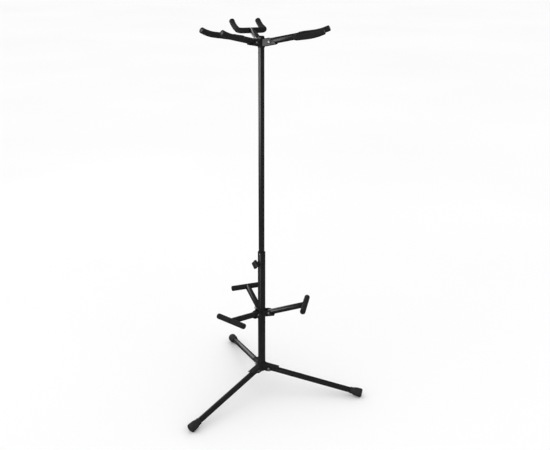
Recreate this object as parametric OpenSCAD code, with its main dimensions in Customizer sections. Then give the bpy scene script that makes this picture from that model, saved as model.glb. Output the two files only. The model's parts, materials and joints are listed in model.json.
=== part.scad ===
// Free-standing rack for three guitars: a folding tripod base, a telescopic
// mast, three padded cradles for the bodies and three padded yokes for the necks.
// Origin: the mast's axis at floor level. +Z is up, +Y points at the back leg.

/* [Mast] */
// Outside diameter of the fixed lower tube
outer_tube_d = 25; // [24:0.5:26]
// Outside diameter of the sliding upper tube
inner_tube_d = 19; // [18:0.5:20]
// Wall thickness of every tube
tube_wall = 1.2; // [1:0.1:1.4]
// Height of the lower tube's bottom edge
outer_tube_bottom = 73; // [71:1:75]
// Height of the lower tube's top edge
outer_tube_top = 511.5; // [505:0.5:560]
// Length of upper tube held inside the lower one
inner_tube_insertion = 150; // [120:5:200]
// Turn of the upper tube and its yokes about the mast
top_turn = -4; // [-60:1:60]

/* [Hinged arms and legs] */
// Outside diameter of the legs and arms
limb_d = 19; // [18:0.5:19]
// Distance of every hinge bolt from the mast's axis
pivot_r = 27.5; // [27:0.5:30]
// Diameter of the hinge bolts
bolt_d = 6; // [5:0.5:6]
// Thickness of the folded steel of the hubs
sheet = 1.5; // [1.2:0.1:2]
// Outside radius of the folds along the hubs' channels
fold_r = 3; // [2.2:0.1:4]

/* [Legs] */
// Distance of each foot's end face from the mast's axis
foot_reach = 349.5; // [300:0.5:400]
// Angle by which the opened legs fall towards the floor
leg_fall = 11.8; // [11:0.1:13]
// Largest diameter of the rubber feet
foot_d = 29.6; // [28:0.2:31]
// Length of the rubber feet
foot_length = 41; // [38:1:46]
// Depth of the flat that each foot's edge wears against the floor
foot_flat = 0.8; // [0.4:0.1:1.2]

/* [Cradles] */
// Height of the cradle hinges
cradle_pivot_z = 295.5; // [280:0.5:330]
// Angle of the collar's channels, the lowest that a cradle arm can lie
cradle_stop = 10.5; // [5:0.5:12]
// Angle by which the back cradle arm rises
cradle_rise_back = 12; // [12:0.5:20]
// Angle by which the left cradle arm rises
cradle_rise_left = 10.5; // [10.5:0.5:20]
// Angle by which the right cradle arm rises
cradle_rise_right = 18; // [12:0.5:20]
// Distance from the hinge to the cradle bar
cradle_length = 125.5; // [115:0.5:140]
// Length of the padded cradle bar
cradle_width = 117; // [100:1:120]

/* [Neck yokes] */
// Height of the yoke hinges
yoke_pivot_z = 1192.5; // [1000:0.5:1250]
// Angle of the top hub's channels, the lowest that a yoke arm can lie
yoke_stop = 12; // [8:0.5:12]
// Angle by which the back yoke arm rises
yoke_rise_back = 12; // [12:0.5:20]
// Angle by which the left yoke arm rises
yoke_rise_left = 14; // [12:0.5:20]
// Angle by which the right yoke arm rises
yoke_rise_right = 12.5; // [12:0.5:20]
// Distance from the hinge to the fork's base
yoke_length = 86; // [82:0.5:90]
// Distance between the axes of a fork's two prongs
fork_width = 85; // [78:1:86]
// Angle by which the fork dips below the arm's axis
fork_dip = 4; // [0:0.5:6]
// Straight length of each prong after its bend
prong_straight = 22; // [15:1:25]
// Length of the prong's upward curl
curl_length = 53; // [40:1:55]
// Angle of the upward curl
curl_angle = 18; // [10:1:24]
// Radius of the fork's two corner bends
corner_r = 14; // [12:0.5:18]

/* [Padding] */
// Outside diameter of the cradles' foam sleeves
cradle_pad_d = 18.5; // [16:0.5:19]
// Outside diameter of the yokes' foam sleeves
fork_pad_d = 17.5; // [16:0.5:18]
// Diameter of the steel rod inside the foam
rod_d = 9.5; // [8:0.5:10]

/* [Clamp] */
// Height of the clamp knob
knob_z = 474; // [462:1:477]
// Direction of the clamp knob about the mast
knob_angle = 195; // [180:1:205]
// Diameter of the knob over its lobes
knob_d = 32; // [28:1:34]
// Number of lobes round the knob
knob_lobes = 4; // [3:1:5]
// Diameter of the clamp screw
screw_d = 8; // [6:0.5:8]

/* [Hidden] */
$fn = 48;

BACK = 90;
LEFT = 210;
RIGHT = 330;
DIRECTIONS = [BACK, LEFT, RIGHT];
CRADLE_RISES = [cradle_rise_back, cradle_rise_left, cradle_rise_right];
YOKE_RISES = [yoke_rise_back, yoke_rise_left, yoke_rise_right];

function of_limb(values, direction) = values[(direction - BACK) / 120];

// Colours
steel_black = "#1d1d1f";
plastic_black = "#151516";
rubber_grey = "#2a2a2b";
foam_grey = "#242425";
zinc = "#b9bbbe";

// Clearances
fixed_play = 0.05;  // round a piece that stays put
running_play = 0.08;  // round a piece that turns or slides
side_play = 0.35;  // between a limb and the cheeks of its channel
stop_gap = 0.7;  // between a limb and the web of its channel
through = 1;  // extra length of a cutter

// Mast
outer_r = outer_tube_d / 2;
outer_bore_r = outer_r - tube_wall;
inner_r = inner_tube_d / 2;
inner_bore_r = inner_r - tube_wall;
inner_tube_bottom = outer_tube_top - inner_tube_insertion;
top_stand_out = 12;  // of the upper tube over the yoke hinges
inner_tube_top = yoke_pivot_z + top_stand_out;
bush_length = 70;
bush_flange = 1.5;
bush_bore_r = inner_r + running_play;
rivet_drop = 4.5;
rivet_angle = 223;
rivet_r = 1.5;
rivet_head_r = 2.6;
rivet_head_h = 1.1;
screw_hole_r = screw_d / 2 + 0.5;
glide_length = 12;
glide_spigot = 20;
glide_gap = 0.3;
plug_depth = 12;
plug_drop = 6;
plug_rim = 2;
spigot_lap = 1;  // overlap of a plug's two parts
cap_h = 3;
cap_edge = 1.5;
cap_slope = 2;

// Limbs and their channels
limb_r = limb_d / 2;
nose_r = limb_r + 0.2;
cheek_inner = limb_r + side_play;
cheek_outer = cheek_inner + sheet;
web_inner = limb_r + stop_gap;
web_outer = web_inner + sheet;
cheek_root = pivot_r - 4;
cheek_tall = 10.5;
ear_flat = 3;
ear_low = 4;
ear_high = 8;
sleeve_wall = 1.5;
base_sleeve = [-13, 14];  // bottom and top from the legs' apex
collar_sleeve = [-17, 11];  // bottom and top from the cradle hinges
top_sleeve = [-19, 9];  // bottom and top from the yoke hinges
base_channel = 31;  // length of each hub's channels from the bolt
collar_channel = 15;
top_channel = 19;
bolt_r = bolt_d / 2;
bolt_head_r = 5.2;
bolt_head_h = 3.2;
bolt_head_taper = 1.6;
nut_r = 5.8;
nut_h = 5;
bolt_tip = 1.3;

// Legs: the axis runs from the apex on the mast to the centre of the foot's end,
// at the height where the foot's lowest edge sinks into the floor by its flat
foot_r = foot_d / 2;
foot_neck_r = limb_r + 1.5;
foot_edge = 2.5;
foot_lip = 0.5;
foot_lip_length = 3;
foot_neck_length = 9;
foot_flare_end = 8;
foot_chamfer = 2;
foot_wall = 5;
foot_end_z = foot_r * cos(leg_fall) - foot_edge * sin(leg_fall) - foot_flat;
leg_apex_z = foot_end_z + foot_reach * tan(leg_fall);
leg_pivot_z = leg_apex_z - pivot_r * tan(leg_fall);
leg_length = (foot_reach - pivot_r) / cos(leg_fall);
foot_cover = foot_length - foot_wall;
foot_bite = 0.5;  // gap between the leg tube's end and the foot's end wall

// Padding
rod_r = rod_d / 2;
cradle_pad_r = cradle_pad_d / 2;
fork_pad_r = fork_pad_d / 2;
pad_bore_r = rod_r + fixed_play;
pad_round = 5;
pad_end_wall = 3.5;
cradle_pad_gap = 0.8;
fork_pad_gap = 4;
foam_gap = 0.3;  // between the foam and the arm, and between a rod's end and its tip
end_gap = 0.5;  // left beyond the end of an arm or rod
tip_play = 0.1;
tip_length = 3;
tip_stand_out = 0.8;
curl_r = curl_length / (curl_angle * PI / 180);

// Clamp
boss_r = 7.5;
boss_end = outer_r + 4.5;
screw_r = screw_d / 2;
screw_gap = 0.25;  // between the loosened screw's tip and the upper tube
screw_start = inner_r + screw_gap;
knob_start = boss_end + 0.6;
knob_neck = 2;
knob_thick = 11;
knob_r = knob_d / 2;
knob_core_r = 10.6;
lobe_r = 5;
knob_collar = 1;
knob_depth = 3;  // solid end of the knob beyond the screw
screw_end = knob_start + knob_neck + knob_thick - knob_depth;

// A rod or tube along +X between two places
module bar_x(r, from, to) {
    translate([from, 0, 0]) rotate([0, 90, 0]) cylinder(r = r, h = to - from);
}

module bar_y(r, from, to) {
    translate([0, from, 0]) rotate([-90, 0, 0]) cylinder(r = r, h = to - from);
}

module upright_tube(r, bore_r, from, to) {
    translate([0, 0, from]) difference() {
        cylinder(r = r, h = to - from);
        translate([0, 0, -through]) cylinder(r = bore_r, h = to - from + 2 * through);
    }
}

// Frames of the three hinges of a level: +X runs out along the limb, +Y is the bolt
module at_hinge(direction, height, rise) {
    rotate([0, 0, direction]) translate([pivot_r, 0, height]) rotate([0, -rise, 0]) children();
}

module at_leg(direction) {
    at_hinge(direction, leg_pivot_z, -leg_fall) children();
}

module at_cradle(direction) {
    at_hinge(direction, cradle_pivot_z, of_limb(CRADLE_RISES, direction)) children();
}

module at_collar(direction) {
    at_hinge(direction, cradle_pivot_z, cradle_stop) children();
}

module at_yoke(direction) {
    at_hinge(direction + top_turn, yoke_pivot_z, of_limb(YOKE_RISES, direction)) children();
}

module at_top(direction) {
    at_hinge(direction + top_turn, yoke_pivot_z, yoke_stop) children();
}

// A hollow limb: its inner end is rounded about the bolt, which passes through it
module hinged_limb(length) {
    difference() {
        intersection() {
            bar_x(limb_r, -nose_r, length);
            union() {
                bar_y(nose_r, -limb_d, limb_d);
                translate([0, -limb_d, -limb_d]) cube([length, 2 * limb_d, 2 * limb_d]);
            }
        }
        bar_x(limb_r - tube_wall, -nose_r - through, length + through);
        bar_y(bolt_r + running_play, -limb_d, limb_d);
    }
}

// Cross-section of a channel: two cheeks and a web, with rounded folds between them
module folded_outline(half, bottom, r) {
    height = cheek_tall - bottom;
    translate([-half, bottom + r]) square([2 * half, height - r]);
    translate([-half + r, bottom]) square([2 * half - 2 * r, height]);
    for (side = [-1, 1])
        translate([side * (half - r), bottom + r]) circle(r = r);
}

module folded_section() {
    difference() {
        folded_outline(cheek_outer, -web_outer, fold_r);
        translate([0, sheet]) folded_outline(cheek_inner, -web_outer, fold_r - sheet);
    }
}

// One folded channel of a hub. The web closes it on the side that the limb rests on.
module channel(reach, web_above) {
    mirror([0, 0, web_above ? 1 : 0]) intersection() {
        translate([-cheek_root, 0, 0]) rotate([90, 0, 90])
            linear_extrude(cheek_root + reach) folded_section();
        translate([0, 2 * cheek_outer, 0]) rotate([90, 0, 0])
            linear_extrude(4 * cheek_outer) polygon([
                [-cheek_root, -web_outer],
                [reach, -web_outer],
                [reach, -web_outer + 2 * sheet],
                [bolt_head_r + ear_flat, ear_low],
                [bolt_head_r - 1, ear_high],
                [-bolt_head_r, cheek_tall],
                [-cheek_root, cheek_tall]
            ]);
    }
}

module bolt_hole() {
    bar_y(bolt_r + fixed_play, -limb_d, limb_d);
}

// The sleeve of a hub round a mast tube, and the bore that clears it for the tube
module hub_sleeve(tube_r, height, ends) {
    upright_tube(tube_r + sleeve_wall, tube_r + fixed_play, height + ends[0], height + ends[1]);
}

module mast_bore(tube_r, height) {
    translate([0, 0, height - 2 * pivot_r]) cylinder(r = tube_r + fixed_play, h = 4 * pivot_r);
}

module pivot_bolt() {
    bar_y(bolt_r, -cheek_outer - nut_h - bolt_tip, cheek_outer + fixed_play);
    translate([0, cheek_outer + fixed_play, 0]) rotate([-90, 0, 0])
        cylinder(r1 = bolt_head_r, r2 = bolt_head_r - bolt_head_taper, h = bolt_head_h);
}

module pivot_nut() {
    translate([0, -cheek_outer - fixed_play, 0]) rotate([90, 0, 0]) difference() {
        cylinder(r = nut_r, h = nut_h, $fn = 6);
        translate([0, 0, -through]) cylinder(r = bolt_r + fixed_play, h = nut_h + 2 * through);
    }
}

// ---- Lower mast ----

module outer_tube() {
    color(steel_black) difference() {
        upright_tube(outer_r, outer_bore_r, outer_tube_bottom, outer_tube_top);
        at_clamp() bar_x(screw_hole_r, 0, outer_tube_d);
        at_rivet() bar_x(rivet_r + fixed_play, 0, outer_tube_d);
    }
}

module at_clamp() {
    rotate([0, 0, knob_angle]) translate([0, 0, knob_z]) children();
}

module at_rivet() {
    rotate([0, 0, rivet_angle]) translate([0, 0, outer_tube_top - rivet_drop]) children();
}

module base_hub() {
    color(steel_black) difference() {
        union() {
            hub_sleeve(outer_r, leg_apex_z, base_sleeve);
            for (d = DIRECTIONS) at_leg(d) channel(base_channel, true);
        }
        mast_bore(outer_r, leg_apex_z);
        for (d = DIRECTIONS) at_leg(d) bolt_hole();
    }
}

module base_plug() {
    dome_r = outer_r - 3.5;
    color(plastic_black) {
        translate([0, 0, outer_tube_bottom - fixed_play]) mirror([0, 0, 1]) {
            cylinder(r = outer_r, h = plug_rim);
            translate([0, 0, plug_rim]) cylinder(r1 = outer_r, r2 = dome_r, h = plug_drop - plug_rim);
        }
        translate([0, 0, outer_tube_bottom - spigot_lap])
            cylinder(r = outer_bore_r - fixed_play, h = plug_depth);
    }
}

module leg_pivot_bolts() {
    color(zinc) for (d = DIRECTIONS) at_leg(d) pivot_bolt();
}

module leg_pivot_nuts() {
    color(zinc) for (d = DIRECTIONS) at_leg(d) pivot_nut();
}

module cradle_collar() {
    color(steel_black) difference() {
        union() {
            hub_sleeve(outer_r, cradle_pivot_z, collar_sleeve);
            for (d = DIRECTIONS) at_collar(d) channel(collar_channel, false);
        }
        mast_bore(outer_r, cradle_pivot_z);
        for (d = DIRECTIONS) at_collar(d) bolt_hole();
    }
}

module cradle_pivot_bolts() {
    color(zinc) for (d = DIRECTIONS) at_collar(d) pivot_bolt();
}

module cradle_pivot_nuts() {
    color(zinc) for (d = DIRECTIONS) at_collar(d) pivot_nut();
}

module tube_bush() {
    color(plastic_black) difference() {
        union() {
            translate([0, 0, outer_tube_top - bush_length])
                cylinder(r = outer_bore_r - fixed_play, h = bush_length + bush_flange);
            translate([0, 0, outer_tube_top + fixed_play]) cylinder(r = outer_r, h = bush_flange);
        }
        translate([0, 0, outer_tube_top - bush_length - through])
            cylinder(r = bush_bore_r, h = bush_length + 3 * through + bush_flange);
        at_clamp() bar_x(screw_hole_r, 0, outer_tube_d);
        at_rivet() bar_x(rivet_r + fixed_play, 0, outer_tube_d);
    }
}

module bush_rivet() {
    color(zinc) at_rivet() {
        bar_x(rivet_r, inner_r + 0.8, outer_r + 0.4);
        translate([outer_r + fixed_play, 0, 0]) rotate([0, 90, 0])
            cylinder(r1 = rivet_head_r, r2 = rivet_head_r - 1, h = rivet_head_h);
    }
}

// ---- Clamp ----

module clamp_boss() {
    color(steel_black) difference() {
        at_clamp() bar_x(boss_r, outer_bore_r, boss_end);
        translate([0, 0, knob_z - 2 * boss_r])
            cylinder(r = outer_r + fixed_play, h = 4 * boss_r);
        at_clamp() bar_x(screw_r + running_play, 0, boss_end + through);
    }
}

module clamp_screw() {
    color(zinc) at_clamp() bar_x(screw_r, screw_start, screw_end);
}

module clamp_knob() {
    lobe_ring = knob_r - lobe_r;
    color(plastic_black) at_clamp() difference() {
        union() {
            bar_x(boss_r, knob_start, knob_start + knob_neck + knob_collar);
            translate([knob_start + knob_neck, 0, 0]) rotate([0, 90, 0]) {
                cylinder(r = knob_core_r, h = knob_thick);
                for (k = [0:knob_lobes - 1])
                    rotate([0, 0, k * 360 / knob_lobes]) translate([lobe_ring, 0, 0])
                        cylinder(r = lobe_r, h = knob_thick);
            }
        }
        bar_x(screw_r + running_play, 0, screw_end + 0.2);
    }
}

// ---- Upper mast ----

module mast_glide() {
    color(plastic_black) {
        translate([0, 0, inner_tube_bottom - glide_gap - glide_length])
            cylinder(r = outer_bore_r - running_play, h = glide_length);
        translate([0, 0, inner_tube_bottom - spigot_lap])
            cylinder(r = inner_bore_r - running_play, h = glide_spigot);
    }
}

module inner_tube() {
    color(steel_black)
        upright_tube(inner_r, inner_bore_r, inner_tube_bottom, inner_tube_top);
}

module top_hub() {
    color(steel_black) difference() {
        union() {
            hub_sleeve(inner_r, yoke_pivot_z, top_sleeve);
            for (d = DIRECTIONS) at_top(d) channel(top_channel, false);
        }
        mast_bore(inner_r, yoke_pivot_z);
        for (d = DIRECTIONS) at_top(d) bolt_hole();
    }
}

module top_cap() {
    color(plastic_black) {
        translate([0, 0, inner_tube_top + fixed_play]) {
            cylinder(r = inner_r, h = cap_h - cap_edge);
            translate([0, 0, cap_h - cap_edge])
                cylinder(r1 = inner_r, r2 = inner_r - cap_slope, h = cap_edge);
        }
        translate([0, 0, inner_tube_top - plug_depth])
            cylinder(r = inner_bore_r - fixed_play, h = plug_depth + spigot_lap);
    }
}

module yoke_pivot_bolts() {
    color(zinc) for (d = DIRECTIONS) at_top(d) pivot_bolt();
}

module yoke_pivot_nuts() {
    color(zinc) for (d = DIRECTIONS) at_top(d) pivot_nut();
}

// ---- Legs ----

module leg_tube(direction) {
    color(steel_black) at_leg(direction) hinged_limb(leg_length - foot_wall - foot_bite);
}

// A hollow rubber boot, worn flat where its edge meets the floor
module foot(direction) {
    color(rubber_grey) intersection() {
        at_leg(direction) translate([leg_length - foot_length, 0, 0]) rotate([0, 90, 0])
            rotate_extrude() polygon([
                [limb_r + fixed_play, 0],
                [foot_neck_r + foot_lip, 0],
                [foot_neck_r + foot_lip, foot_lip_length],
                [foot_neck_r, foot_lip_length + 2 * foot_lip],
                [foot_neck_r, foot_neck_length],
                [foot_r, foot_length - foot_flare_end],
                [foot_r, foot_length - foot_edge],
                [foot_r - foot_chamfer, foot_length],
                [0, foot_length],
                [0, foot_cover],
                [limb_r + fixed_play, foot_cover]
            ]);
        translate([-2 * foot_reach, -2 * foot_reach, 0])
            cube([4 * foot_reach, 4 * foot_reach, 2 * leg_apex_z]);
    }
}

// ---- Cradles ----

module cradle_arm(direction) {
    color(steel_black) at_cradle(direction) difference() {
        hinged_limb(cradle_length - end_gap);
        translate([cradle_length, 0, 0]) bar_y(pad_bore_r, -limb_d, limb_d);
    }
}

module cradle_bar(direction) {
    half = cradle_width / 2 - pad_end_wall - end_gap;
    color(steel_black) at_cradle(direction) translate([cradle_length, 0, 0]) bar_y(rod_r, -half, half);
}

// Half of the bar's foam, closed and rounded at its outer end and cut to fit the arm
module cradle_pad(direction, side) {
    half = cradle_width / 2;
    color(foam_grey) at_cradle(direction) difference() {
        translate([cradle_length, 0, 0]) mirror([0, side, 0]) rotate([-90, 0, 0])
            rotate_extrude() intersection() {
                difference() {
                    union() {
                        square([cradle_pad_r, half - pad_round]);
                        square([cradle_pad_r - pad_round, half]);
                        translate([cradle_pad_r - pad_round, half - pad_round]) circle(r = pad_round);
                    }
                    square([pad_bore_r, half - pad_end_wall]);
                }
                translate([0, cradle_pad_gap]) square([cradle_pad_r, half]);
            }
        bar_x(limb_r + foam_gap, 0, cradle_length);
    }
}

// ---- Neck yokes ----

module yoke_arm(direction) {
    color(steel_black) at_yoke(direction) difference() {
        hinged_limb(yoke_length - end_gap);
        translate([yoke_length, 0, 0]) bar_y(pad_bore_r, -limb_d, limb_d);
    }
}

module ring(r, bore_r) {
    difference() {
        circle(r = r);
        if (bore_r > 0) circle(r = bore_r);
    }
}

// Half of a fork from near its middle, round the corner and up the curled prong
module fork_half(r, bore_r, start, curl) {
    half = fork_width / 2;
    translate([0, start, 0]) rotate([-90, 0, 0])
        linear_extrude(half - corner_r - start) ring(r, bore_r);
    translate([corner_r, half - corner_r, 0])
        rotate_extrude(angle = 90, start = 90) translate([corner_r, 0]) ring(r, bore_r);
    translate([corner_r, half, 0]) rotate([0, 90, 0])
        linear_extrude(prong_straight) ring(r, bore_r);
    translate([corner_r + prong_straight, half, curl_r]) rotate([90, 0, 0])
        rotate_extrude(angle = curl, start = -90) translate([curl_r, 0]) ring(r, bore_r);
}

module at_fork(direction) {
    at_yoke(direction) translate([yoke_length, 0, 0]) rotate([0, fork_dip, 0]) children();
}

module yoke_fork(direction) {
    rod_curl = curl_angle * (1 - (tip_length + foam_gap) / curl_length);
    color(steel_black) at_fork(direction)
        for (side = [0, 1]) mirror([0, side, 0]) fork_half(rod_r, 0, 0, rod_curl);
}

module yoke_pad(direction, side) {
    color(foam_grey) difference() {
        at_fork(direction) mirror([0, side, 0])
            fork_half(fork_pad_r, pad_bore_r, fork_pad_gap, curl_angle);
        at_yoke(direction) bar_x(limb_r + foam_gap, 0, yoke_length);
    }
}

// Round plugs in the ends of the foam, over the rod's two ends
module yoke_tips(direction) {
    color(plastic_black) at_fork(direction) for (side = [0, 1]) mirror([0, side, 0])
        translate([
            corner_r + prong_straight + curl_r * sin(curl_angle),
            fork_width / 2,
            curl_r * (1 - cos(curl_angle))
        ])
            rotate([0, -curl_angle, 0]) bar_x(rod_r - tip_play, -tip_length, tip_stand_out);
}

outer_tube();
base_hub();
base_plug();
leg_pivot_bolts();
leg_pivot_nuts();
cradle_collar();
cradle_pivot_bolts();
cradle_pivot_nuts();
tube_bush();
bush_rivet();
clamp_boss();
clamp_screw();
clamp_knob();
mast_glide();
inner_tube();
top_hub();
top_cap();
yoke_pivot_bolts();
yoke_pivot_nuts();
leg_tube(BACK);  // leg_tube_back
leg_tube(LEFT);  // leg_tube_left
leg_tube(RIGHT);  // leg_tube_right
foot(BACK);  // foot_back
foot(LEFT);  // foot_left
foot(RIGHT);  // foot_right
cradle_arm(BACK);  // cradle_arm_back
cradle_arm(LEFT);  // cradle_arm_left
cradle_arm(RIGHT);  // cradle_arm_right
cradle_bar(BACK);  // cradle_bar_back
cradle_bar(LEFT);  // cradle_bar_left
cradle_bar(RIGHT);  // cradle_bar_right
cradle_pad(BACK, 0);  // cradle_pad_back_a
cradle_pad(LEFT, 0);  // cradle_pad_left_a
cradle_pad(RIGHT, 0);  // cradle_pad_right_a
cradle_pad(BACK, 1);  // cradle_pad_back_b
cradle_pad(LEFT, 1);  // cradle_pad_left_b
cradle_pad(RIGHT, 1);  // cradle_pad_right_b
yoke_arm(BACK);  // yoke_arm_back
yoke_arm(LEFT);  // yoke_arm_left
yoke_arm(RIGHT);  // yoke_arm_right
yoke_fork(BACK);  // yoke_fork_back
yoke_fork(LEFT);  // yoke_fork_left
yoke_fork(RIGHT);  // yoke_fork_right
yoke_pad(BACK, 0);  // yoke_pad_back_a
yoke_pad(LEFT, 0);  // yoke_pad_left_a
yoke_pad(RIGHT, 0);  // yoke_pad_right_a
yoke_pad(BACK, 1);  // yoke_pad_back_b
yoke_pad(LEFT, 1);  // yoke_pad_left_b
yoke_pad(RIGHT, 1);  // yoke_pad_right_b
yoke_tips(BACK);  // yoke_tips_back
yoke_tips(LEFT);  // yoke_tips_left
yoke_tips(RIGHT);  // yoke_tips_right
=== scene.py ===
import json
import math

import bmesh
import bpy
from mathutils import Matrix, Vector, noise


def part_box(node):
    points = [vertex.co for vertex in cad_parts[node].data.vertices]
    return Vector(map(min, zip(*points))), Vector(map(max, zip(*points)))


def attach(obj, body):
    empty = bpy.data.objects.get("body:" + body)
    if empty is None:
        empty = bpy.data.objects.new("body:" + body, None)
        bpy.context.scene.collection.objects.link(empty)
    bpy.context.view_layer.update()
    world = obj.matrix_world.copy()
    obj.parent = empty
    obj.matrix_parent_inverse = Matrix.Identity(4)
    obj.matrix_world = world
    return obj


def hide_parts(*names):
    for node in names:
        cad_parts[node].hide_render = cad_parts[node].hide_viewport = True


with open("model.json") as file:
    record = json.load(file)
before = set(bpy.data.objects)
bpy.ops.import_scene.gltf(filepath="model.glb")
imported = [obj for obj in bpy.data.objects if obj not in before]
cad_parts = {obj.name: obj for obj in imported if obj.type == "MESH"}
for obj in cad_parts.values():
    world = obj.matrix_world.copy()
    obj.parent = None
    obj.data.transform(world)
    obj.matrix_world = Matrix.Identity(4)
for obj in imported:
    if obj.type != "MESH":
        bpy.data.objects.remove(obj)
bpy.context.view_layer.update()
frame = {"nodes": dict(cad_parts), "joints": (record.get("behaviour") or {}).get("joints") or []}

MM = 0.001
WAYS = {"back": 90, "left": 210, "right": 330}  # directions of the three legs, degrees
FULL_TURN = 2 * math.pi

# Sizes that the design sets, in millimetres
LIMB_R = 9.5
ROD_R = 4.75
CRADLE_PAD_R = 9.25
YOKE_PAD_R = 8.75
BOLT_R = 3.0
CHEEK = 11.35  # half the width of a hub's channel
OUTER_R = 12.5
INNER_R = 9.5
LEG_FALL = 11.8
CRADLE_STOP = 10.5
CRADLE_RISE = {"back": 12.0, "left": 10.5, "right": 18.0}
CRADLE_LENGTH = 125.5
CRADLE_HALF = 58.5
CRADLE_GAP = 0.8  # from the arm's middle plane to the cut end of a cradle's foam
YOKE_STOP = 12.0
YOKE_RISE = {"back": 12.0, "left": 14.0, "right": 12.5}
YOKE_LENGTH = 86.0
FORK_DIP = 4.0
FORK_HALF = 42.5
FORK_GAP = 4.0  # from the arm's middle plane to the cut end of a fork's foam
FORK_CORNER = 14.0
PRONG_STRAIGHT = 22.0
CURL_ANGLE = math.radians(18)
CURL_LENGTH = 53.0
CURL_R = CURL_LENGTH / CURL_ANGLE
FOOT_R = 14.8
FOOT_LENGTH = 41.0
FOOT_REACH = 349.5  # from the mast's axis to the foot's end face
PIVOT_R = 27.5  # from the mast's axis to a hinge
FOOT_FAR = (FOOT_REACH - PIVOT_R) / math.cos(math.radians(LEG_FALL))

JOINTS = {j["name"]: j for j in frame["joints"]}


# ---- Node-based materials ----

class Paint:
    """A material and short calls that add nodes to it."""

    def __init__(self, name, **sockets):
        self.material = bpy.data.materials.new(name)
        self.material.use_nodes = True
        self.tree = self.material.node_tree
        self.shader = self.tree.nodes["Principled BSDF"]
        for socket, value in sockets.items():
            self.shader.inputs[socket.replace("_", " ")].default_value = value
        self.place = self.node("ShaderNodeTexCoord").outputs["Object"]

    def node(self, kind, **settings):
        made = self.tree.nodes.new(kind)
        for name, value in settings.items():
            setattr(made, name, value)
        return made

    def link(self, source, target):
        self.tree.links.new(source, target)

    def stretched(self, scale):
        mapping = self.node("ShaderNodeMapping")
        mapping.inputs["Scale"].default_value = scale
        self.link(self.place, mapping.inputs["Vector"])
        return mapping.outputs["Vector"]

    def noise(self, scale, detail=3.0, roughness=0.5, place=None):
        made = self.node("ShaderNodeTexNoise")
        made.inputs["Scale"].default_value = scale
        made.inputs["Detail"].default_value = detail
        made.inputs["Roughness"].default_value = roughness
        self.link(place or self.place, made.inputs["Vector"])
        return made.outputs["Fac"]

    def cells(self, scale, feature="F1"):
        made = self.node("ShaderNodeTexVoronoi", feature=feature)
        made.inputs["Scale"].default_value = scale
        self.link(self.place, made.inputs["Vector"])
        return made.outputs["Distance"]

    def ramp(self, source, *stops):
        made = self.node("ShaderNodeValToRGB")
        ramp = made.color_ramp
        for k, (place, colour) in enumerate(stops):
            stop = ramp.elements[k] if k < 2 else ramp.elements.new(place)
            stop.position = place
            stop.color = (*colour, 1) if isinstance(colour, tuple) else (colour, colour, colour, 1)
        self.link(source, made.inputs["Fac"])
        return made.outputs["Color"]

    def span(self, source, low, high):
        made = self.node("ShaderNodeMapRange")
        made.inputs["To Min"].default_value = low
        made.inputs["To Max"].default_value = high
        self.link(source, made.inputs["Value"])
        return made.outputs["Result"]

    def mixed(self, share, first, second):
        made = self.node("ShaderNodeMix", data_type="RGBA")
        self.link(share, made.inputs["Factor"])
        self.link(first, made.inputs[6])
        self.link(second, made.inputs[7])
        return made.outputs[2]

    def bump(self, source, depth_mm, under=None):
        made = self.node("ShaderNodeBump")
        made.inputs["Distance"].default_value = depth_mm * MM
        self.link(source, made.inputs["Height"])
        if under:
            self.link(under, made.inputs["Normal"])
        self.link(made.outputs["Normal"], self.shader.inputs["Normal"])
        return made.outputs["Normal"]

    def set(self, socket, source):
        self.link(source, self.shader.inputs[socket])


def powder_coat():
    """Semi-gloss black powder coat: orange peel, faint cloudiness and a few rubbed spots."""
    paint = Paint("black_powder_coat", Specular_IOR_Level=0.45, IOR=1.5)
    cloud = paint.noise(28, 4)
    peel = paint.noise(1400, 2)
    rubbed = paint.noise(60, 6, 0.7, paint.stretched((1, 1, 0.35)))
    base = paint.ramp(cloud, (0.3, (0.0098, 0.0098, 0.0103)), (0.75, (0.0158, 0.0158, 0.0165)))
    worn = paint.ramp(cloud, (0.3, 0.018), (0.8, 0.027))
    wear = paint.ramp(rubbed, (0.66, 0.0), (0.74, 0.7))
    paint.set("Base Color", paint.mixed(wear, base, worn))
    paint.set("Roughness", paint.span(paint.noise(90, 4), 0.2, 0.3))
    under = paint.bump(peel, 0.02)
    paint.bump(paint.noise(260, 3), 0.03, under)
    return paint.material


def bright_zinc():
    """Zinc plate: bright, lightly brushed, with a faint warm and cool stain."""
    paint = Paint("bright_zinc", Metallic=1.0)
    stain = paint.noise(170, 4)
    paint.set("Base Color", paint.ramp(
        stain, (0.25, (0.26, 0.265, 0.275)), (0.55, (0.34, 0.34, 0.345)), (0.8, (0.31, 0.30, 0.28))))
    paint.set("Roughness", paint.span(paint.noise(900, 3, place=paint.stretched((1, 1, 6))), 0.22, 0.42))
    paint.bump(paint.noise(2200, 2), 0.012)
    return paint.material


def moulded_plastic():
    """Black moulded nylon with a fine spark-eroded grain."""
    paint = Paint("moulded_plastic", Specular_IOR_Level=0.4, IOR=1.5)
    paint.set("Base Color", paint.ramp(paint.noise(60, 3), (0.3, 0.009), (0.8, 0.015)))
    paint.set("Roughness", paint.span(paint.noise(300, 4), 0.42, 0.6))
    under = paint.bump(paint.cells(1900), 0.025)
    paint.bump(paint.noise(700, 3), 0.02, under)
    return paint.material


def plug_plastic_painted_highlight():
    """The yokes' black end plugs, given a grey colour that is a painted highlight standing in for the caps'
    shine, with scuff noise from handling.
    """
    paint = Paint("plug_plastic_painted_highlight", Specular_IOR_Level=0.4, IOR=1.5)
    scuff = paint.noise(240, 5, 0.65)
    # painted highlight: the grey 0.055-0.10 base colour stands in for the shine on the black caps; the
    # scuff noise only varies it
    paint.set("Base Color", paint.ramp(scuff, (0.3, 0.055), (0.75, 0.10)))
    paint.set("Roughness", paint.span(scuff, 0.4, 0.62))
    paint.bump(paint.noise(900, 3), 0.02)
    return paint.material


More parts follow.
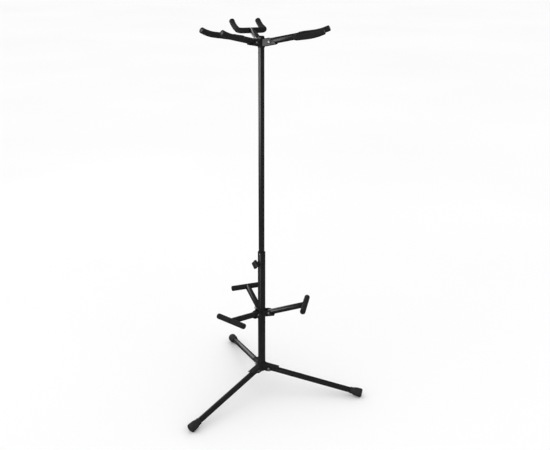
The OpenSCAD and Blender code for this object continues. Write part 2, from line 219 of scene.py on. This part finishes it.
def foot_rubber():
    """Dark grey rubber, dull, slightly dusty, a little paler where it is handled."""
    paint = Paint("foot_rubber", Specular_IOR_Level=0.3, IOR=1.5)
    dust = paint.noise(110, 6, 0.65)
    paint.set("Base Color", paint.ramp(dust, (0.3, (0.011, 0.011, 0.0115)), (0.72, (0.024, 0.024, 0.024))))
    paint.set("Roughness", paint.span(paint.noise(150, 4), 0.62, 0.85))
    under = paint.bump(paint.noise(1100, 4, 0.6), 0.05)
    paint.bump(paint.noise(190, 3), 0.06, under)
    return paint.material


def closed_cell_foam():
    """Charcoal closed-cell foam: fine open pores over a soft mottled skin, with painted shade darkening the
    larger pores' hollows.
    """
    paint = Paint("closed_cell_foam", Specular_IOR_Level=0.22, IOR=1.4)
    paint.shader.inputs["Sheen Weight"].default_value = 0.04
    paint.shader.inputs["Sheen Roughness"].default_value = 0.6
    paint.shader.inputs["Sheen Tint"].default_value = (0.5, 0.5, 0.52, 1)
    pores = paint.cells(1500)
    big_pores = paint.cells(620)
    mottle = paint.noise(130, 5, 0.6)
    body = paint.ramp(mottle, (0.3, (0.0070, 0.0070, 0.0073)), (0.75, (0.0150, 0.0150, 0.0155)))
    # painted shade: the centres of the larger pores are darkened where their hollows would be in shade
    pore_shade_tone = paint.ramp(mottle, (0.3, 0.0030), (0.75, 0.0060))
    painted_pore_shade = paint.ramp(big_pores, (0.05, 1.0), (0.22, 0.0))
    paint.set("Base Color", paint.mixed(painted_pore_shade, body, pore_shade_tone))
    paint.set("Roughness", paint.span(mottle, 0.72, 0.9))
    under = paint.bump(pores, 0.10)
    under = paint.bump(big_pores, 0.10, under)
    paint.bump(paint.noise(420, 4, 0.6), 0.12, under)
    return paint.material


STEEL = powder_coat()
ZINC = bright_zinc()
PLASTIC = moulded_plastic()
PLUG_PAINTED_HIGHLIGHT = plug_plastic_painted_highlight()
RUBBER = foot_rubber()
FOAM = closed_cell_foam()


# ---- Mesh making ----

def basis(origin, out, side):
    """A frame at origin: X along out, Y along side, Z square to both. Lengths inside it are millimetres."""
    x = out.normalized()
    z = x.cross(side.normalized()).normalized()
    y = z.cross(x)
    turn = Matrix((x, y, z)).transposed().to_4x4()
    return Matrix.Translation(origin) @ turn @ Matrix.Scale(MM, 4)


def hinge_basis(joint, rise):
    """The frame of a hinge: the bolt's middle, X out along the limb, Y along the bolt."""
    pivot = Vector(JOINTS[joint]["pos_m"])
    flat = Vector((pivot.x, pivot.y, 0)).normalized()
    side = Vector((0, 0, 1)).cross(flat)
    tilt = math.radians(rise)
    return basis(pivot, flat * math.cos(tilt) + Vector((0, 0, math.sin(tilt))), side)


def filleted(corners, steps=5):
    """A profile of (along, radius) points from corners (along, radius, fillet), each rounded."""
    made = []
    for k, (s, r, size) in enumerate(corners):
        here = Vector((s, r))
        if not size or k in (0, len(corners) - 1):
            made.append(here)
            continue
        before = Vector(corners[k - 1][:2]) - here
        after = Vector(corners[k + 1][:2]) - here
        reach = min(size, before.length * 0.49, after.length * 0.49)
        start, end = here + before.normalized() * reach, here + after.normalized() * reach
        for n in range(steps + 1):
            t = n / steps
            made.append(start * (1 - t) ** 2 + here * 2 * t * (1 - t) + end * t ** 2)
    return made


def along_x(s):
    return Vector((s, 0, 0)), Vector((1, 0, 0)), Vector((0, 0, 1))


def along_y(s):
    return Vector((0, s, 0)), Vector((0, 1, 0)), Vector((0, 0, 1))


def swept(profile, path=along_x, segments=48, warp=None):
    """Vertices and faces of a round solid: each profile point (along, radius) is a ring round the path.
    warp(along, angle, radius) returns the along and radius that a ring's point moves to."""
    verts, rings = [], []
    for s, r in profile:
        count = 1 if r < 1e-6 else segments
        rings.append(range(len(verts), len(verts) + count))
        for k in range(count):
            angle = FULL_TURN * k / segments
            s2, r2 = warp(s, angle, r) if warp and count > 1 else (s, r)
            at, tangent, up = path(s2)
            side = tangent.cross(up)
            verts.append(at + up * (r2 * math.sin(angle)) + side * (r2 * math.cos(angle)))
    faces = []
    for a, b in zip(rings, rings[1:]):
        for k in range(segments):
            n = (k + 1) % segments
            corners = [a[k % len(a)], a[n % len(a)], b[n % len(b)], b[k % len(b)]]
            kept = [c for i, c in enumerate(corners) if c != corners[i - 1]]
            if len(kept) > 2:
                faces.append(kept)
    if len(rings[0]) > 1:
        faces.append(list(reversed(rings[0])))
    if len(rings[-1]) > 1:
        faces.append(list(rings[-1]))
    return verts, faces


def piece(name, solids, place, material, body, stands_for, sharp=38):
    """One object from solids, each a (verts, faces) pair in the millimetres of its own place."""
    verts, faces = [], []
    places = place if isinstance(place, list) else [place] * len(solids)
    for (points, loops), where in zip(solids, places):
        start = len(verts)
        verts += [where @ p for p in points]
        faces += [[start + i for i in loop] for loop in loops]
    mesh = bpy.data.meshes.new(name)
    mesh.from_pydata(verts, [], faces)
    mesh.validate()
    tidy_normals(mesh)
    mesh.shade_smooth()
    mesh.set_sharp_from_angle(angle=math.radians(sharp))
    mesh.materials.append(material)
    made = bpy.data.objects.new(name, mesh)
    bpy.context.collection.objects.link(made)
    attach(made, body)
    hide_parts(*stands_for)
    return made


def tidy_normals(mesh):
    """Turns every face outwards."""
    work = bmesh.new()
    work.from_mesh(mesh)
    bmesh.ops.recalc_face_normals(work, faces=work.faces)
    work.to_mesh(mesh)
    work.free()


# ---- Foam sleeves ----

def fork_path(s):
    """A point on the fork's axis, s millimetres from its middle: base, corner, prong and upward curl."""
    base = FORK_HALF - FORK_CORNER
    bend = FORK_CORNER * math.pi / 2
    up = Vector((0, 0, 1))
    if s < base:
        return Vector((0, s, 0)), Vector((0, 1, 0)), up
    if s < base + bend:
        turn = (s - base) / FORK_CORNER
        at = Vector((FORK_CORNER * (1 - math.cos(turn)), base + FORK_CORNER * math.sin(turn), 0))
        return at, Vector((math.sin(turn), math.cos(turn), 0)), up
    run = s - base - bend
    if run < PRONG_STRAIGHT:
        return Vector((FORK_CORNER + run, FORK_HALF, 0)), Vector((1, 0, 0)), up
    turn = (run - PRONG_STRAIGHT) / CURL_R
    x = FORK_CORNER + PRONG_STRAIGHT + CURL_R * math.sin(turn)
    at = Vector((x, FORK_HALF, CURL_R * (1 - math.cos(turn))))
    return at, Vector((math.cos(turn), 0, math.sin(turn))), Vector((-math.sin(turn), 0, math.cos(turn)))


FORK_END = FORK_HALF - FORK_CORNER + FORK_CORNER * math.pi / 2 + PRONG_STRAIGHT + CURL_LENGTH


def skin(path, seed, arm_gap, corner=None):
    """How a foam sleeve departs from a plain tube: cut to fit the arm at its start, softly uneven,
    and creased on the inside of its bend."""
    mouth = 11.0  # the cut end's influence along the sleeve
    offset = Vector((seed * 7.3, seed * 3.1, seed * 5.7))

    path_side = -1  # the arm meets the rod where cos(angle) is negative

    def warp(s, angle, r):
        toward_arm = math.cos(angle) * path_side
        beside = r * math.sin(angle)
        arm_edge = math.sqrt(max(LIMB_R ** 2 - beside ** 2, 0.0)) + 0.25
        hug = min(max(0.5 + toward_arm * 1.6, 0), 1)
        start = arm_gap + (arm_edge - arm_gap) * hug * hug * (3 - 2 * hug)
        fade = max(0.0, 1 - (s - arm_gap) / mouth)
        moved = s + (start - arm_gap) * fade
        at = path(moved)[0]
        soft = noise.noise(at * 0.11 + offset) * 0.16 + noise.noise(at * 0.45 + offset) * 0.07
        if corner and r > ROD_R + 1:
            near = math.exp(-((s - corner) / 9.0) ** 2)
            inside = max(0.0, math.cos(angle) * -path_side) ** 2
            soft -= 0.16 * near * inside * (0.5 + 0.5 * math.sin(s * 2.1 + seed)) - 0.1 * near * inside
        return moved, r + soft * min(1.0, (r - ROD_R) / 2)

    return warp


def dense(corners, step=1.2):
    """A profile with extra rings between far corners, so that the skin can be uneven."""
    points = filleted(corners, 6)
    made = [points[0]]
    for a, b in zip(points, points[1:]):
        count = max(1, int((b - a).length / step))
        made += [a.lerp(b, n / count) for n in range(1, count + 1)]
    return made


def mirrored(solid):
    points, loops = solid
    return [Vector((p.x, -p.y, p.z)) for p in points], loops


def cradle_foam(way, number, half):
    place = hinge_basis(f"cradle_{way}_fold", CRADLE_RISE[way]) @ Matrix.Translation((CRADLE_LENGTH, 0, 0))
    gap = CRADLE_GAP
    profile = dense([
        (gap + 1.5, ROD_R, 0), (gap, ROD_R, 0), (gap, CRADLE_PAD_R, 0.9),
        (CRADLE_HALF, CRADLE_PAD_R, 5.0), (CRADLE_HALF, 0, 0)])
    solid = swept(profile, along_y, 48, skin(along_y, number + 1.0, gap))
    name = f"cradle_foam_{way}_{half}"
    made = piece(name, [mirrored(solid) if half == "b" else solid], place, FOAM,
                 f"cradle_{way}", [f"cradle_pad_{way}_{half}"], 60)


def yoke_foam(way, number, half):
    arm = hinge_basis(f"yoke_{way}_fold", YOKE_RISE[way])
    place = arm @ Matrix.Translation((YOKE_LENGTH, 0, 0)) @ Matrix.Rotation(math.radians(FORK_DIP), 4, "Y")
    gap = FORK_GAP
    profile = dense([
        (gap + 1.5, ROD_R, 0), (gap, ROD_R, 0), (gap, YOKE_PAD_R, 0.9),
        (FORK_END, YOKE_PAD_R, 1.0), (FORK_END, ROD_R + 0.1, 0.3), (FORK_END - 2.5, ROD_R, 0)])
    corner = FORK_HALF - FORK_CORNER + FORK_CORNER * math.pi / 4
    solid = swept(profile, fork_path, 48, skin(fork_path, number + 4.0, gap, corner))
    name = f"yoke_foam_{way}_{half}"
    made = piece(name, [mirrored(solid) if half == "b" else solid], place, FOAM,
                 f"yoke_{way}", [f"yoke_pad_{way}_{half}"], 60)


def yoke_plugs(way):
    """Domed plugs in the open ends of a yoke's foam."""
    arm = hinge_basis(f"yoke_{way}_fold", YOKE_RISE[way])
    place = arm @ Matrix.Translation((YOKE_LENGTH, 0, 0)) @ Matrix.Rotation(math.radians(FORK_DIP), 4, "Y")
    r = ROD_R - 0.1
    profile = filleted([
        (FORK_END - 3, 0, 0), (FORK_END - 3, r, 0), (FORK_END + 0.3, r, 0.5),
        (FORK_END + 0.8, r - 1.4, 0.9), (FORK_END + 0.8, 0, 0)])
    solid = swept(profile, fork_path, 32)
    piece(f"yoke_plugs_{way}", [solid, mirrored(solid)], place, PLUG_PAINTED_HIGHLIGHT,
          f"yoke_{way}", [f"yoke_tips_{way}"])


# ---- Feet ----

def foot(way):
    """A rubber boot with a rolled lip and a swelling end, worn flat where it meets the floor."""
    place = hinge_basis(f"leg_{way}_fold", -LEG_FALL)
    end = FOOT_FAR
    begin = end - FOOT_LENGTH
    neck = LIMB_R + 1.5
    profile = dense([
        (begin + 6, LIMB_R + 0.05, 0), (begin, LIMB_R + 0.15, 0.3), (begin, neck + 0.45, 0.9),
        (begin + 3.4, neck + 0.45, 0.9), (begin + 4.6, neck, 1.2), (begin + 9, neck + 0.5, 4),
        (begin + 17, FOOT_R - 0.7, 6), (end - 10, FOOT_R, 6),
        (end - 2.5, FOOT_R, 1.5), (end, FOOT_R - 2.1, 1.6),
        (end, 3.2, 0.4), (end - 0.7, 2.4, 0.4), (end - 0.7, 0, 0)], 1.5)
    solid = swept(profile, along_x, 56)
    made = piece(f"rubber_foot_{way}", [solid], place, RUBBER, f"leg_{way}", [f"foot_{way}"], 50)
    for v in made.data.vertices:
        v.co.z = max(v.co.z, 0.0)


# ---- Bolts and nuts ----

def bolt_solids():
    """A pan-head bolt with a hexagon socket, along Y."""
    seat = CHEEK + 0.05
    head = filleted([
        (-CHEEK - 6.2, 0, 0), (-CHEEK - 6.2, BOLT_R - 0.6, 0), (-CHEEK - 5.7, BOLT_R, 0.2),
        (seat, BOLT_R, 0), (seat, 5.2, 0.35), (seat + 1.2, 5.2, 0.5), (seat + 3.1, 3.9, 1.6),
        (seat + 3.2, 1.9, 0.2), (seat + 1.3, 1.75, 0), (seat + 1.3, 0, 0)])

    def socket(s, angle, r):
        if s > seat + 1.2 and r < 2.1:
            wedge = math.pi / 3
            part = (angle % wedge) - wedge / 2
            return s, 1.62 / math.cos(part)
        return s, r

    return swept(head, along_y, 48, socket)


def nut_solids():
    """A lock nut: chamfered hexagon, then a round collar with its nylon ring. It sits on -Y."""
    far = -CHEEK - 0.05
    flat = 5.0
    profile = filleted([
        (far, BOLT_R + 0.1, 0), (far, flat - 0.2, 0.2), (far - 0.5, flat + 0.8, 0.1),
        (far - 3.6, flat + 0.8, 0.1), (far - 4.0, flat - 0.3, 0.3), (far - 4.9, flat - 0.9, 0.5),
        (far - 5.0, BOLT_R + 0.6, 0.2), (far - 4.5, BOLT_R + 0.1, 0)])

    def hexagon(s, angle, r):
        wedge = math.pi / 3
        part = (angle % wedge) - wedge / 2
        return s, min(r, flat / math.cos(part)) if s > far - 3.9 and r > flat - 0.1 else r

    return swept(profile, along_y, 72, hexagon)


def fasteners(level, rise, body):
    """The three bolts and three nuts of a hub's hinges, each set in its own node's place."""
    places = [hinge_basis(f"{level}_{way}_fold", rise) for way in WAYS]
    bolts, nuts = [bolt_solids()] * len(places), [nut_solids()] * len(places)
    piece(f"{level}_hinge_bolts", bolts, places, ZINC, body, [f"{level}_pivot_bolts"])
    piece(f"{level}_hinge_nuts", nuts, places, ZINC, body, [f"{level}_pivot_nuts"])


# ---- Mast details ----

def mast_basis(height):
    """A frame on the mast whose X points up."""
    return basis(Vector((0, 0, height * MM)), Vector((0, 0, 1)), Vector((0, 1, 0)))


def top_cap():
    low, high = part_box("top_cap")
    top = high.z / MM
    skirt = top - 3
    profile = filleted([
        (low.z / MM, 0, 0), (low.z / MM, 8.1, 0.4), (skirt, 8.15, 0), (skirt, INNER_R, 0.3),
        (top - 1.4, INNER_R, 0.8), (top, INNER_R - 2.6, 2.2), (top, 0, 0)])
    piece("domed_top_cap", [swept(profile, along_x, 56)], mast_basis(0), PLASTIC,
          "upper_mast", ["top_cap"])


def base_plug():
    low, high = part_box("base_plug")
    bottom = low.z / MM
    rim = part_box("outer_tube")[0].z / MM
    profile = filleted([
        (bottom, 0, 0), (bottom, 4.0, 0), (bottom + 0.5, 5.0, 0.5), (bottom, 6.0, 0.5),
        (bottom + 0.3, OUTER_R - 3.5, 2.0), (rim - 1.9, OUTER_R, 1.4), (rim - 0.1, OUTER_R, 0.3),
        (rim - 0.1, 11.2, 0), (high.z / MM, 11.2, 0.5), (high.z / MM, 0, 0)])
    piece("rounded_base_plug", [swept(profile, along_x, 56)], mast_basis(0), PLASTIC,
          "lower_mast", ["base_plug"])


def clamp_basis():
    knob = JOINTS["clamp_knob_turn"]
    return basis(Vector(knob["pos_m"]), Vector(knob["axis"]), Vector((0, 0, 1)).cross(Vector(knob["axis"])))


def clamp_knob():
    """A lobed knob with softly rounded fingers, a neck and a shallow dish in its face."""
    near, far = 17.6, 30.6
    lobes, tip, collar, valley_depth = 4, 16.0, 7.6, 5.4
    profile = filleted([
        (near + 8, 4.2, 0), (near, 4.2, 0.2), (near, 7.4, 0.4), (near + 2, 7.5, 0.8),
        (near + 2.3, 12.5, 0.6), (near + 3.2, tip, 2.2), (far - 1.8, tip, 2.6), (far, tip - 3.4, 1.6),
        (far - 0.3, 7.4, 1.0), (far - 1.1, 6.6, 0.6), (far - 1.2, 0, 0)], 6)

    def fingers(s, angle, r):
        valley = (0.5 - 0.5 * math.cos(angle * lobes)) ** 0.55
        reach = min(max((r - collar) / (tip - collar), 0), 1)
        return s, r - valley * valley_depth * reach

    piece("lobed_clamp_knob", [swept(profile, along_x, 144, fingers)], clamp_basis(), PLASTIC,
          "clamp_knob", ["clamp_knob"], 50)


def clamp_screw():
    """The screw with its thread cut as fine ridges."""
    start, end, pitch = 9.75, 27.6, 1.25
    r = 4.0
    profile = [Vector((start, 0)), Vector((start, r - 1.2)), Vector((start + 0.9, r - 0.45))]
    s = start + 1.4
    while s < end - pitch:
        profile += [Vector((s, r)), Vector((s + 0.2, r)), Vector((s + pitch / 2, r - 0.62))]
        s += pitch
    profile += [Vector((end, r - 0.5)), Vector((end, 0))]
    piece("threaded_clamp_screw", [swept(profile, along_x, 40)], clamp_basis(), ZINC,
          "clamp_screw", ["clamp_screw"], 25)


def bush_rivet():
    """A small domed rivet head just under the lower tube's edge."""
    low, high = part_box("bush_rivet")
    middle = (low + high) / 2
    out = Vector((middle.x, middle.y, 0)).normalized()
    place = basis(Vector((0, 0, middle.z)), out, Vector((0, 0, 1)).cross(out))
    profile = filleted([
        (INNER_R + 0.8, 0, 0), (INNER_R + 0.8, 1.5, 0), (OUTER_R, 1.5, 0), (OUTER_R + 0.05, 2.6, 0.2),
        (OUTER_R + 1.0, 1.8, 0.9), (OUTER_R + 1.1, 0, 0)])
    piece("domed_bush_rivet", [swept(profile, along_x, 32)], place, ZINC,
          "lower_mast", ["bush_rivet"])


def finish_cad(names, material, edge_mm):
    """Gives CAD nodes their material and softens their edges."""
    for name in names:
        node = frame["nodes"][name]
        node.data.materials.clear()
        node.data.materials.append(material)
        weld = node.modifiers.new("joined", "WELD")
        weld.merge_threshold = 0.01 * MM
        edge = node.modifiers.new("edges", "BEVEL")
        edge.width = edge_mm * MM
        edge.segments = 2
        edge.limit_method = "ANGLE"
        edge.angle_limit = math.radians(40)
        edge.harden_normals = False


# ---- Stage, lights and camera ----

def floor():
    half = 30.0
    corners = [(-half, -half, 0), (half, -half, 0), (half, half, 0), (-half, half, 0)]
    mesh = bpy.data.meshes.new("floor")
    mesh.from_pydata(corners, [], [(0, 1, 2, 3)])
    paint = Paint("pale_floor", Roughness=0.9, Specular_IOR_Level=0.1)
    paint.set("Base Color", paint.ramp(paint.noise(0.6, 2), (0.3, 0.90), (0.7, 0.92)))
    mesh.materials.append(paint.material)
    made = bpy.data.objects.new("floor", mesh)
    bpy.context.collection.objects.link(made)
    made.visible_glossy = False


def studio_world():
    """An even white room. Glossy rays see it nearly black, as card round a product would make it."""
    world = bpy.data.worlds.new("studio")
    bpy.context.scene.world = world
    world.use_nodes = True
    tree = world.node_tree
    back = tree.nodes["Background"]
    back.inputs["Color"].default_value = (1, 1, 1, 1)
    rays = tree.nodes.new("ShaderNodeLightPath")
    dim = tree.nodes.new("ShaderNodeMapRange")
    dim.inputs["To Min"].default_value = 1.1
    dim.inputs["To Max"].default_value = 0.10
    tree.links.new(rays.outputs["Is Glossy Ray"], dim.inputs["Value"])
    tree.links.new(dim.outputs["Result"], back.inputs["Strength"])


def softbox(name, left, distance, bottom, top, width, radiance):
    """An upright light, left degrees round from the camera and facing the mast."""
    lamp = bpy.data.lights.new(name, "AREA")
    lamp.shape = "RECTANGLE"
    lamp.size = width
    lamp.size_y = top - bottom
    lamp.energy = radiance * math.pi * width * (top - bottom)
    made = bpy.data.objects.new(name, lamp)
    turn = math.radians(CAMERA_WAY - left)
    middle = (top + bottom) / 2
    made.location = (distance * math.cos(turn), distance * math.sin(turn), middle)
    made.rotation_euler = (Vector((0, 0, middle)) - made.location).to_track_quat("-Z", "Y").to_euler()
    made.visible_camera = False
    made.visible_diffuse = False
    bpy.context.collection.objects.link(made)


def lights():
    """Two tall softboxes on the left, weaker towards the floor, and a white card behind on the left.
    They show in the glossy coats only; the even light comes from the world."""
    distance, width = 2.0, 1.0
    bands = {"top": (0.72, 2.3, 4.6), "middle": (0.42, 0.72, 2.6), "low": (0.02, 0.42, 1.1)}
    for number, left in enumerate((40, 66)):
        for band, (bottom, top, radiance) in bands.items():
            softbox(f"key_{band}_{number}", left, distance, bottom, top, width, radiance)
    softbox("back_card", left=146, distance=3.0, bottom=0.1, top=2.6, width=2.6, radiance=1.9)


CAMERA_WAY = -109.256  # azimuth of the camera about the mast, degrees from +X


def camera():
    """The viewpoint: a little above the rack's top, looking down at it between two of its legs."""
    distance, height = 2.373, 1.5113
    pitch, yaw, roll = math.radians(20.8555), 0.0184, 0.0049
    lens_per_width = 784.18 / 550
    data = bpy.data.cameras.new("camera")
    data.sensor_width = 36
    data.lens = 36 * lens_per_width
    data.clip_end = 200
    made = bpy.data.objects.new("camera", data)
    bpy.context.collection.objects.link(made)
    way = math.radians(CAMERA_WAY)
    made.location = (distance * math.cos(way), distance * math.sin(way), height)
    look = way + math.pi - yaw
    level = Vector((math.cos(look), math.sin(look), 0))
    right = Vector((math.sin(look), -math.cos(look), 0))
    ahead = level * math.cos(pitch) - Vector((0, 0, math.sin(pitch)))
    up = level * math.sin(pitch) + Vector((0, 0, math.cos(pitch)))
    x = right * math.cos(roll) + up * math.sin(roll)
    y = up * math.cos(roll) - right * math.sin(roll)
    turn = Matrix((x, y, -ahead)).transposed().to_4x4()
    made.matrix_world = Matrix.Translation(made.location) @ turn
    bpy.context.scene.camera = made


def build():
    for number, way in enumerate(WAYS):
        foot(way)
        yoke_plugs(way)
        for half in "ab":
            cradle_foam(way, number * 2 + (half == "b"), half)
            yoke_foam(way, number * 2 + (half == "b"), half)
    fasteners("leg", -LEG_FALL, "lower_mast")
    fasteners("cradle", CRADLE_STOP, "lower_mast")
    fasteners("yoke", YOKE_STOP, "upper_mast")
    top_cap()
    base_plug()
    clamp_knob()
    clamp_screw()
    bush_rivet()
    tubes = ["outer_tube", "inner_tube"]
    tubes += [f"{kind}_{way}" for kind in ("leg_tube", "cradle_arm", "yoke_arm") for way in WAYS]
    rods = [f"{kind}_{way}" for kind in ("cradle_bar", "yoke_fork") for way in WAYS]
    finish_cad(tubes + rods, STEEL, 0.25)
    finish_cad(["base_hub", "cradle_collar", "top_hub", "clamp_boss"], STEEL, 0.4)
    finish_cad(["tube_bush", "mast_glide"], PLASTIC, 0.3)
    floor()
    studio_world()
    lights()
    camera()
    bpy.context.scene.view_settings.view_transform = "Standard"


build()
